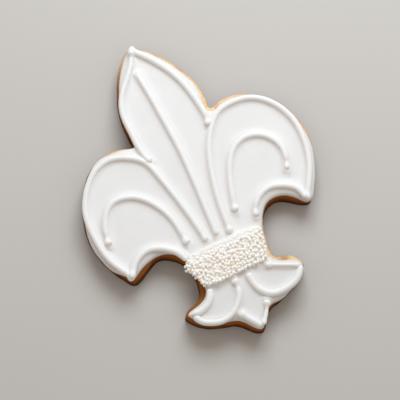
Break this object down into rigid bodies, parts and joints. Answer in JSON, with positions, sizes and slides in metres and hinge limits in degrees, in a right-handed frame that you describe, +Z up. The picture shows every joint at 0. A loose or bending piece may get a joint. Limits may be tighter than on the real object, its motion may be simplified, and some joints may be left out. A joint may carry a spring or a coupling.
{
  "type": "iced sugar cookie",
  "caption": "Flat iced sugar cookie cut as a three-petalled lily, with raised piped lines and a band of tiny sugar pearls across its waist.",
  "frame": {"origin": "centre of the flat underside's bounding rectangle, on the surface the cookie lies on", "axes": "+Z up through the icing, +Y along the cookie's length towards the middle petal's tip, +X to the right seen from above"},
  "size_m": [0.0802, 0.1043, 0.0108],
  "materials": {
    "baked_biscuit": "baked, dry and finely pitted, golden at the rim and darker brown towards the underside",
    "flood_icing": "set white icing, smooth and satin",
    "piped_icing": "set white icing, rounded and satin",
    "sugar_pearls": "ivory white sugar with a soft gloss"
  },
  "bodies": {
    "root": {"biscuit": "baked_biscuit", "icing_flood": "flood_icing", "pearl_band": "sugar_pearls", "piped_lobe_left": "piped_icing", "piped_lobe_right": "piped_icing", "piped_petal_right": "piped_icing", "piped_petal_left": "piped_icing", "piped_vein": "piped_icing", "piped_curl_left": "piped_icing", "piped_curl_right": "piped_icing", "piped_bay_left": "piped_icing", "piped_bay_right": "piped_icing", "piped_foot_left_leaf": "piped_icing", "piped_foot_right_leaf": "piped_icing", "piped_foot_left_top": "piped_icing", "piped_foot_right_top": "piped_icing", "piped_point_left": "piped_icing", "piped_point_right": "piped_icing"}
  },
  "joints": []
}
